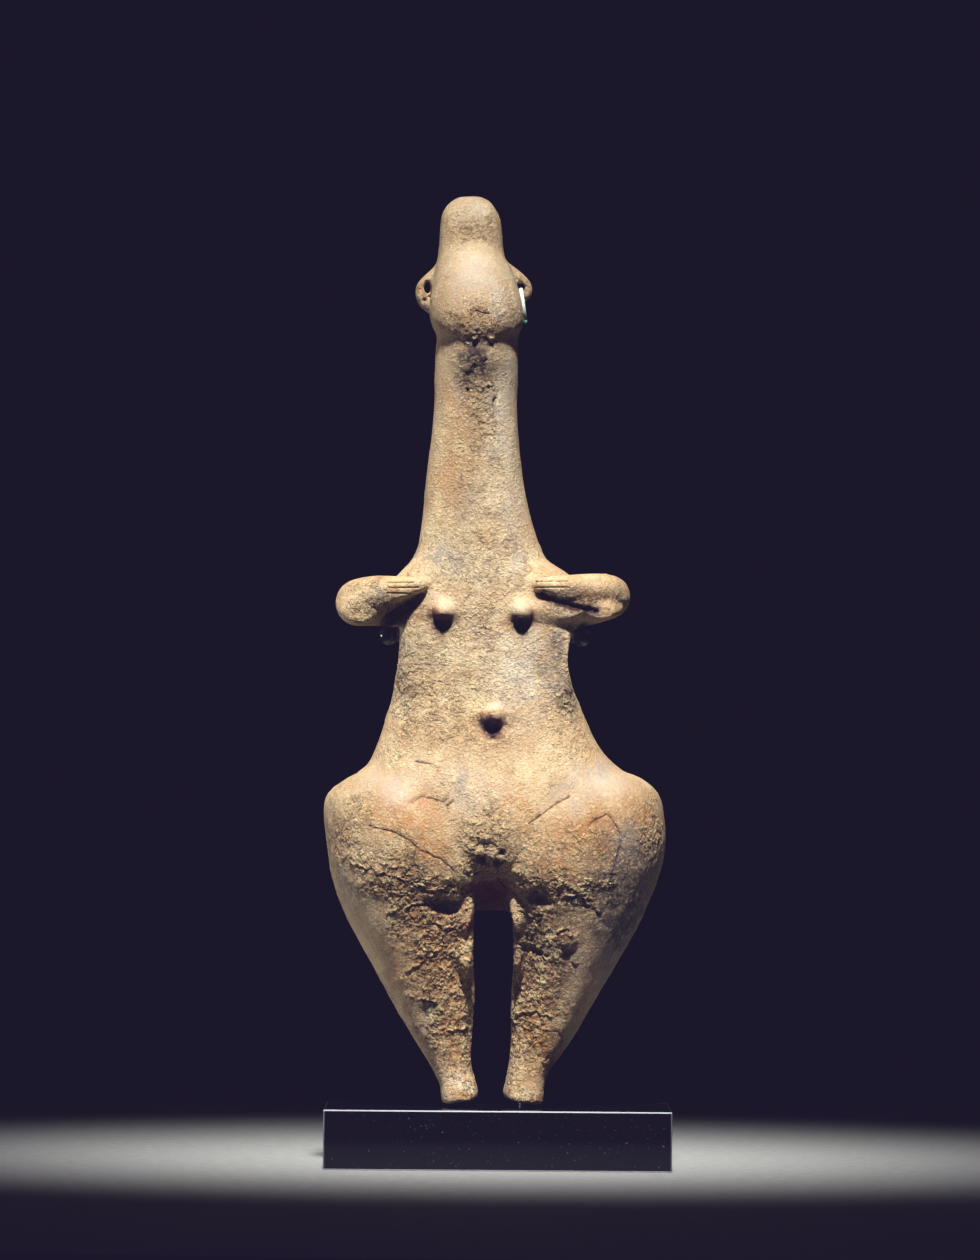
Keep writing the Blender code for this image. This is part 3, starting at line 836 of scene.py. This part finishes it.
def clay_grain(tree, place, dry):
    """The grain of the clay, stronger where it is dry. Real grains are about 0.2 mm, too fine to show."""
    inputs = {"Vector": place, "Scale": 1 / (1.1 * MM), "Detail": 3.0, "Roughness": 0.75}
    grain = add_node(tree, "TexNoise", inputs)
    grain = add_node(tree, "Math", {0: grain, 1: 0.5}, operation="SUBTRACT")
    return add_node(tree, "Math", {0: grain, 1: dry}, operation="MULTIPLY")


def clay_material():
    """Low-fired buff earthenware, burnished by hand and fired in a bonfire, under a crust of burial lime.

    The clay is matt and mottled: buff where it is plain, orange where the fire was clear, grey where it
    smoked. The crust is dry and crumbly, with paler curled rims, crests with a painted highlight, and painted
    shade in its pits and under its edges.
    """
    material, tree, shader = new_material("buff_earthenware", IOR=1.5)
    place = add_node(tree, "TexCoord", output="Object")
    names = ("crust", "relief", *UNDER_CRUST, *OVER_CRUST)
    layer = {name: add_node(tree, "Attribute", output="Fac", attribute_name=name) for name in names}
    inputs = {"Vector": place, "Scale": 1 / (3 * MM), "Detail": 4.0, "Roughness": 0.65}
    drift = add_node(tree, "TexNoise", inputs, "Color")
    inputs = {0: drift, 1: (DRIFT * MM, DRIFT * MM, DRIFT * MM), 2: place}
    drifted = add_node(tree, "VectorMath", inputs, operation="MULTIPLY_ADD")

    # How dry and how crumbly each place is: the crust breaks up where it is thin, and crumbs lie all round
    # it.
    inputs = {"Value": layer["crust"], "From Min": -0.25, "From Max": 0.15, "To Min": 0.3, "To Max": 1.0}
    dry = add_node(tree, "MapRange", inputs)
    inputs = {"Vector": place, "Scale": 1 / (6 * MM), "Detail": 6.0, "Roughness": 0.7}
    pattern = add_node(tree, "TexNoise", inputs)
    thickness = add_node(tree, "Math", {0: pattern, 1: 1.6, 2: layer["crust"]}, operation="MULTIPLY_ADD")
    inputs = {"Value": thickness, "From Min": 1.0, "From Max": 1.3, "To Min": 0.03}
    crumbly = add_node(tree, "MapRange", inputs)
    near = add_node(tree, "MapRange", {"Value": thickness, "From Min": 0.65, "From Max": 1.05})
    near = add_node(tree, "Math", {0: near, 1: dry}, operation="MULTIPLY")

    torn, edge_shadow = torn_sheets(tree, drifted)
    rims = curled_rims(tree, place, drifted)
    crumbs = loose_crumbs(tree, drifted, near)
    grain = clay_grain(tree, place, dry)

    # Rims and crumbs are pale and dry, crests get a painted highlight, and painted shade lies in the dips and
    # under the edges of the sheets.
    inputs = {"Value": layer["relief"], "From Min": 0.25, "From Max": 0.9, "To Max": 0.7}
    crest_highlight = add_node(tree, "MapRange", inputs)
    pale = add_node(tree, "Math", {0: rims, 1: 0.7, 2: crest_highlight}, operation="MULTIPLY_ADD", use_clamp=True)
    pale = add_node(tree, "Math", {0: pale, 1: crumbly}, operation="MULTIPLY")
    pale = add_node(tree, "Math", {0: crumbs, 1: 0.35, 2: pale}, operation="MULTIPLY_ADD", use_clamp=True)
    # Painted shade where the relief is low.
    inputs = {"Value": layer["relief"], "From Min": 0.1, "From Max": -0.6, "To Max": 0.8}
    low = add_node(tree, "MapRange", inputs)
    inputs = {"Value": layer["crust"], "From Min": 0.2, "From Max": 0.8, "To Min": 0.4}
    thick = add_node(tree, "MapRange", inputs)
    dip_shade = add_node(tree, "Math", {0: edge_shadow, 1: 0.9, 2: low}, operation="MULTIPLY_ADD", use_clamp=True)
    dip_shade = add_node(tree, "Math", {0: dip_shade, 1: crumbly}, operation="MULTIPLY")
    dip_shade = add_node(tree, "Math", {0: dip_shade, 1: thick}, operation="MULTIPLY")

    colour = mottled_clay(tree, place)
    for name, (tone, size) in UNDER_CRUST.items():
        colour = tinted(tree, place, colour, layer[name], tone, size)
    colour = add_node(tree, "Mix", {0: pale, 6: colour, 7: linear("#e4cb94")}, 2, data_type="RGBA")
    inputs = {0: dip_shade, 6: colour, 7: linear("#57391f")}
    colour = add_node(tree, "Mix", inputs, 2, data_type="RGBA", blend_type="MULTIPLY")
    for name, (tone, size) in OVER_CRUST.items():
        colour = tinted(tree, place, colour, layer[name], tone, size)
    inputs = {"Value": grain, "From Min": -0.2, "From Max": 0.2, "To Min": 0.68, "To Max": 1.26}
    inputs = {0: 1.0, 6: colour, 7: add_node(tree, "MapRange", inputs)}
    colour = add_node(tree, "Mix", inputs, 2, data_type="RGBA", blend_type="MULTIPLY")
    tree.links.new(colour, shader.inputs["Base Color"])

    # Burnished clay has a soft sheen, and the crust has none.
    sheen = add_node(tree, "MapRange", {"Value": crumbly, "To Min": 0.6, "To Max": 0.95})
    tree.links.new(sheen, shader.inputs["Roughness"])

    height = add_node(tree, "Math", {0: torn, 1: 0.42}, operation="MULTIPLY")
    height = add_node(tree, "Math", {0: rims, 1: 0.5, 2: height}, operation="MULTIPLY_ADD")
    height = add_node(tree, "Math", {0: height, 1: crumbly}, operation="MULTIPLY")
    height = add_node(tree, "Math", {0: crumbs, 1: 0.3, 2: height}, operation="MULTIPLY_ADD")
    height = add_node(tree, "Math", {0: grain, 1: 0.85, 2: height}, operation="MULTIPLY_ADD")
    bump = add_node(tree, "Bump", {"Height": height, "Distance": MM}, "Normal")
    tree.links.new(bump, shader.inputs["Normal"])
    return material


def make_ring():
    """The earring: a flat band of bronze bent round until its ends nearly meet."""
    deselect()
    bpy.ops.mesh.primitive_circle_add(vertices=BAND_SIDES, radius=MM, fill_type="NOTHING")
    piece = bpy.context.object
    piece.name = "ear_ring"
    edit(piece)
    bpy.ops.transform.resize(value=(BAND[0], BAND[1], 1))
    bpy.ops.transform.translate(value=(0, RING_RADIUS * MM, 0))
    turn = math.radians(RING_TURN)
    bpy.ops.mesh.spin(steps=RING_STEPS, angle=turn, center=(0, 0, 0), axis=(1, 0, 0))
    bpy.ops.mesh.select_all(action="SELECT")
    bpy.ops.mesh.remove_doubles(threshold=0.00001)
    bpy.ops.mesh.fill_holes(sides=0)
    bpy.ops.mesh.select_all(action="SELECT")
    bpy.ops.mesh.normals_make_consistent(inside=False)
    for axis, degrees in (("X", RING_START), ("Y", RING_TILT)):
        bpy.ops.transform.rotate(value=math.radians(degrees), orient_axis=axis, center_override=(0, 0, 0))
    x, y, z = RING_MIDDLE
    bpy.ops.transform.translate(value=((x - LEAN * z) * MM, (y + FIGURE_Y) * MM, (z + SOLE_HEIGHT) * MM))
    bpy.ops.object.mode_set(mode="OBJECT")
    modify(piece, "SUBSURF", levels=2, render_levels=2)
    piece.data.shade_smooth()
    return piece


def make_plinth():
    """The block of the stand, with a drilled socket for its rod."""
    low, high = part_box("plinth")
    deselect()
    bpy.ops.mesh.primitive_cube_add(size=1)
    piece = bpy.context.object
    piece.name = "stand_block"
    edit(piece)
    bpy.ops.transform.resize(value=high - low)
    bpy.ops.transform.translate(value=(low + high) / 2)
    bpy.ops.mesh.bevel(offset=PLINTH_EDGE * MM, segments=3, affect="EDGES")
    bpy.ops.object.mode_set(mode="OBJECT")
    x, y, radius, deep = SOCKET
    deselect()
    bpy.ops.mesh.primitive_cylinder_add(
        vertices=SOCKET_SIDES, radius=radius * MM, depth=2 * deep * MM, location=(x * MM, y * MM, high.z)
    )
    drill = bpy.context.object
    modify(piece, "BOOLEAN", operation="DIFFERENCE", object=drill, solver="EXACT")
    bpy.data.objects.remove(drill)
    take(piece)
    bpy.ops.object.shade_smooth_by_angle(angle=math.radians(35))
    return piece


def make_sleeve(name):
    """A soft tube end with its bore, drawn forward from its open back end through the stations."""
    deselect()
    rim = SLEEVE_OUTSIDE[0][1] * MM
    bpy.ops.mesh.primitive_circle_add(vertices=SLEEVE_SIDES, radius=rim, fill_type="NOTHING")
    piece = bpy.context.object
    piece.name = name
    edit(piece)
    bpy.ops.transform.rotate(value=math.pi / 2, orient_axis="X", center_override=(0, 0, 0))
    for stations in (SLEEVE_OUTSIDE, SLEEVE_BORE):
        at, radius = stations[0]
        for next_at, next_radius in stations[1:]:
            step = (0, (at - next_at) * MM, 0)
            bpy.ops.mesh.extrude_region_move(TRANSFORM_OT_translate={"value": step})
            bpy.ops.transform.resize(value=(next_radius / radius, 1, next_radius / radius))
            at, radius = next_at, next_radius
        bpy.ops.mesh.merge(type="CENTER")
        bpy.ops.mesh.select_all(action="DESELECT")
        bpy.ops.mesh.select_non_manifold()
    bpy.ops.mesh.select_all(action="SELECT")
    bpy.ops.mesh.normals_make_consistent(inside=False)
    bpy.ops.object.mode_set(mode="OBJECT")
    piece.data.shade_smooth()
    return piece


def put_on_node(piece, node):
    """Moves the mesh so that its box has the same middle as the CAD node's."""
    low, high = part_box(node)
    corners = [Vector(corner) for corner in piece.bound_box]
    middle = (corners[0] + corners[6]) / 2
    edit(piece)
    bpy.ops.transform.translate(value=(low + high) / 2 - middle)
    bpy.ops.object.mode_set(mode="OBJECT")


def make_sleeves():
    """Both tube ends: one, and its copy with a mesh of its own."""
    left = make_sleeve("tube_end_left")
    right = bpy.data.objects.new("tube_end_right", left.data.copy())
    bpy.context.scene.collection.objects.link(right)
    put_on_node(left, "sleeve_left")
    put_on_node(right, "sleeve_right")
    return left, right


def make_cradle():
    """The bent rod with its yoke and two prongs, rounded off."""
    piece = copy_of_node("cradle", "stand_rod")
    modify(piece, "SUBSURF", levels=1, render_levels=1)
    modify(piece, "REMESH", mode="VOXEL", voxel_size=ROD_VOXEL * MM)
    modify(piece, "SMOOTH", iterations=4)
    piece.data.shade_smooth()
    return piece


def bronze_material():
    """Bronze strip, hammered thin and long buried, with a pale mint bloom that turns to teal low down.

    Powdery matt bloom of corrosion, denser teal with a little shine; the pale top is partly a painted
    highlight.
    """
    material, tree, shader = new_material("green_bronze", IOR=1.5)
    place = add_node(tree, "TexCoord", output="Object")
    inputs = {"Vector": place, "Scale": 1 / (2.2 * MM), "Detail": 6.0, "Roughness": 0.7}
    bloom = add_node(tree, "TexNoise", inputs)
    # Paler towards the top of the ring: mint bloom, and a painted highlight where the lamp above falls.
    up = add_node(tree, "SeparateXYZ", {"Vector": place}, "Z")
    middle = RING_MIDDLE[2] + SOLE_HEIGHT
    inputs = {"Value": up, "From Min": (middle - 6) * MM, "From Max": (middle + 1) * MM}
    high = add_node(tree, "MapRange", inputs)
    share = add_node(tree, "Math", {0: bloom, 1: 1.2, 2: high}, operation="MULTIPLY_ADD")
    share = add_node(tree, "MapRange", {"Value": share, "From Min": 0.55, "From Max": 1.15})
    inputs = {0: share, 6: linear("#1f7a6c"), 7: linear("#dbe9da")}
    colour = add_node(tree, "Mix", inputs, 2, data_type="RGBA")
    tree.links.new(colour, shader.inputs["Base Color"])
    rough = add_node(tree, "MapRange", {"Value": share, "To Min": 0.35, "To Max": 0.8})
    tree.links.new(rough, shader.inputs["Roughness"])
    bump = add_node(tree, "Bump", {"Height": bloom, "Distance": 0.3 * MM}, "Normal")
    tree.links.new(bump, shader.inputs["Normal"])
    return material


def scuffed_arris_highlight(tree, place):
    """The edges of the block, painted pale as a highlight and as scuffs, most along its front and back."""
    low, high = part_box("plinth")
    inside = PLINTH_EDGE * MM * 1.1
    parts = [add_node(tree, "SeparateXYZ", {"Vector": place}, axis) for axis in "XYZ"]
    edges = []
    for axis, part in enumerate(parts):
        inputs = {0: part, 1: (low[axis] + high[axis]) / 2}
        away = add_node(tree, "Math", inputs, operation="SUBTRACT")
        away = add_node(tree, "Math", {0: away}, operation="ABSOLUTE")
        reach = (high[axis] - low[axis]) / 2 - inside
        edges.append(add_node(tree, "Math", {0: away, 1: reach}, operation="GREATER_THAN"))
    arris_highlight = 0.0
    for first, second, worn in EDGE_HIGHLIGHT_AND_SCUFFS:
        both = add_node(tree, "Math", {0: edges[first], 1: worn}, operation="MULTIPLY")
        both = add_node(tree, "Math", {0: edges[second], 1: both}, operation="MULTIPLY")
        arris_highlight = add_node(tree, "Math", {0: both, 1: arris_highlight}, operation="MAXIMUM")
    return arris_highlight


def plinth_material():
    """A block of black acrylic, sawn and flame-polished: deep gloss, arrises with scuffs and a painted
    highlight, settled dust.

    The specks of dust are drawn coarser than real ones, so that they show.
    """
    material, tree, shader = new_material("polished_black_acrylic", IOR=1.49, Specular_IOR_Level=0.25)
    place = add_node(tree, "TexCoord", output="Object")
    arris_highlight = scuffed_arris_highlight(tree, place)
    specks = add_node(tree, "TexNoise", {"Vector": place, "Scale": 1 / (1.1 * MM), "Detail": 1.0})
    dust = add_node(tree, "MapRange", {"Value": specks, "From Min": 0.72, "From Max": 0.86, "To Max": 0.6})
    inputs = {"Vector": place, "Scale": 1 / (9 * MM), "Detail": 5.0, "Roughness": 0.7}
    film = add_node(tree, "TexNoise", inputs)
    colour = linear("#030304")
    for share, tone in ((film, "#060608"), (dust, "#77777d"), (arris_highlight, "#b4b4bc")):
        colour = add_node(tree, "Mix", {0: share, 6: colour, 7: linear(tone)}, 2, data_type="RGBA")
    tree.links.new(colour, shader.inputs["Base Color"])
    rough = add_node(tree, "MapRange", {"Value": film, "To Min": 0.06, "To Max": 0.2})
    rough = add_node(tree, "Math", {0: arris_highlight, 1: 0.3, 2: rough}, operation="MULTIPLY_ADD")
    tree.links.new(rough, shader.inputs["Roughness"])
    return material


def rod_material():
    """Steel rod, bent cold and sprayed satin black, with soft highlights. Its orange peel is drawn coarse."""
    material, tree, shader = new_material("satin_black_paint", IOR=1.5)
    place = add_node(tree, "TexCoord", output="Object")
    inputs = {"Vector": place, "Scale": 1 / (5 * MM), "Detail": 5.0, "Roughness": 0.7}
    cloud = add_node(tree, "TexNoise", inputs)
    inputs = {0: cloud, 6: linear("#0c0c0f"), 7: linear("#1b1b20")}
    colour = add_node(tree, "Mix", inputs, 2, data_type="RGBA")
    tree.links.new(colour, shader.inputs["Base Color"])
    rough = add_node(tree, "MapRange", {"Value": cloud, "To Min": 0.35, "To Max": 0.6})
    tree.links.new(rough, shader.inputs["Roughness"])
    peel = add_node(tree, "TexNoise", {"Vector": place, "Scale": 1 / (1.2 * MM), "Detail": 1.0})
    bump = add_node(tree, "Bump", {"Height": peel, "Distance": 0.05 * MM}, "Normal")
    tree.links.new(bump, shader.inputs["Normal"])
    return material


def tubing_material():
    """Soft smoky tubing, extruded and pushed over the steel: smooth and glossy, dulled by handling."""
    material, tree, shader = new_material("smoky_tubing", IOR=1.5)
    place = add_node(tree, "TexCoord", output="Object")
    inputs = {"Vector": place, "Scale": 1 / (3 * MM), "Detail": 4.0, "Roughness": 0.6}
    cloud = add_node(tree, "TexNoise", inputs)
    inputs = {0: cloud, 6: linear("#060c10"), 7: linear("#10191f")}
    colour = add_node(tree, "Mix", inputs, 2, data_type="RGBA")
    tree.links.new(colour, shader.inputs["Base Color"])
    rough = add_node(tree, "MapRange", {"Value": cloud, "To Min": 0.1, "To Max": 0.25})
    tree.links.new(rough, shader.inputs["Roughness"])
    return material


def paper_material():
    """Matt studio paper, rolled from pulp. Its grey clouds of fibre are drawn coarse, so that they show."""
    material, tree, shader = new_material("matt_paper", Roughness=0.9)
    place = add_node(tree, "TexCoord", output="Object")
    inputs = {"Vector": place, "Scale": 1 / (6 * MM), "Detail": 6.0, "Roughness": 0.8}
    fibres = add_node(tree, "TexNoise", inputs)
    fibres = add_node(tree, "MapRange", {"Value": fibres, "From Min": 0.3, "From Max": 0.7})
    inputs = {0: fibres, 6: linear("#868683"), 7: linear("#a4a4a0")}
    colour = add_node(tree, "Mix", inputs, 2, data_type="RGBA")
    tree.links.new(colour, shader.inputs["Base Color"])
    return material


def light(name, place, aim, size, power, spread, in_gloss):
    """A round soft lamp with a grid, which keeps its beam this narrow. Gloss shows it or doesn't."""
    lamp = bpy.data.lights.new(name, "AREA")
    lamp.shape = "DISK"
    lamp.size = size
    lamp.energy = power
    lamp.spread = math.radians(spread)
    item = bpy.data.objects.new(name, lamp)
    item.location = place
    item.rotation_euler = (Vector(aim) - Vector(place)).to_track_quat("-Z", "Y").to_euler()
    item.visible_camera = False
    item.visible_glossy = in_gloss
    bpy.context.scene.collection.objects.link(item)


# The camera: a long lens, a little below the middle of the figure and looking very slightly up. The field
# is how many metres wide the view is at the figure.
CAMERA_AWAY = 4.0
CAMERA_PLACE = Vector((-0.0051, -CAMERA_AWAY, 0.1890))
CAMERA_AIM = Vector((-0.0051, 0.0, 0.2378))
CAMERA_FIELD = 0.5594
CAMERA_ROLL = math.radians(0.45)

# The lamps: name, place and aim, diameter, watts, width of the beam in degrees, and whether gloss shows it.
# The back lamp would lie as a white glare on the top of the block.
LAMPS = (
    ("key", (0, -1.74, 2.9), (0, -0.04, 0.2), 0.25, 0.97, 9.8, True),
    ("side", (-2.0, 0.3, 0.22), (0, 0, 0.2), 0.4, 0.2, 14, True),
    ("back", (0.1, 2.4, 0.3), (0, 0, 0.42), 0.4, 0.45, 13, False),
)
FLOOR_RADIUS = 0.72
HAZE = "#1c182b"  # the lens has a little violet haze, so the backdrop and the deepest shadows never go black


def make_camera():
    """The camera in front of the figure, turned very slightly about its line of sight."""
    data = bpy.data.cameras.new("camera")
    data.angle = 2 * math.atan(CAMERA_FIELD / 2 / CAMERA_AWAY)
    data.clip_start, data.clip_end = 0.1, 30
    item = bpy.data.objects.new("camera", data)
    item.location = CAMERA_PLACE
    aim = (CAMERA_AIM - CAMERA_PLACE).to_track_quat("-Z", "Y")
    item.rotation_mode = "QUATERNION"
    item.rotation_quaternion = aim @ Quaternion((0, 0, 1), CAMERA_ROLL)
    bpy.context.scene.collection.objects.link(item)
    bpy.context.scene.camera = item


def make_stage():
    """The paper floor, a black room, the lamps, and the haze of the lens."""
    deselect()
    bpy.ops.mesh.primitive_circle_add(vertices=96, radius=FLOOR_RADIUS, fill_type="NGON")
    floor = bpy.context.object
    floor.name = "floor"
    floor.data.materials.append(paper_material())
    world = bpy.data.worlds.new("studio")
    world.use_nodes = True
    world.node_tree.nodes["Background"].inputs["Color"].default_value = linear("#000000")
    bpy.context.scene.world = world
    settings = bpy.context.scene.view_settings
    settings.view_transform = "Standard"
    settings.use_curve_mapping = True
    settings.curve_mapping.black_level = [-part for part in linear(HAZE)[:3]]
    settings.curve_mapping.update()
    for lamp in LAMPS:
        light(*lamp)


make_camera()
make_stage()
clay, ring, block, rod = make_clay(), make_ring(), make_plinth(), make_cradle()
left_sleeve, right_sleeve = make_sleeves()
tubing = tubing_material()
PIECES = (
    (clay, "idol", "fired_clay", clay_material()),
    (ring, "earring", "green_bronze", bronze_material()),
    (block, "plinth", "gloss_black", plinth_material()),
    (rod, "cradle", "black_steel", rod_material()),
    (left_sleeve, "sleeve_left", "dark_tubing", tubing),
    (right_sleeve, "sleeve_right", "dark_tubing", tubing),
)
for piece, node, slot, material in PIECES:
    piece.data.materials.clear()
    piece.data.materials.append(material)
    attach(piece, "root")
    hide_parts(node)
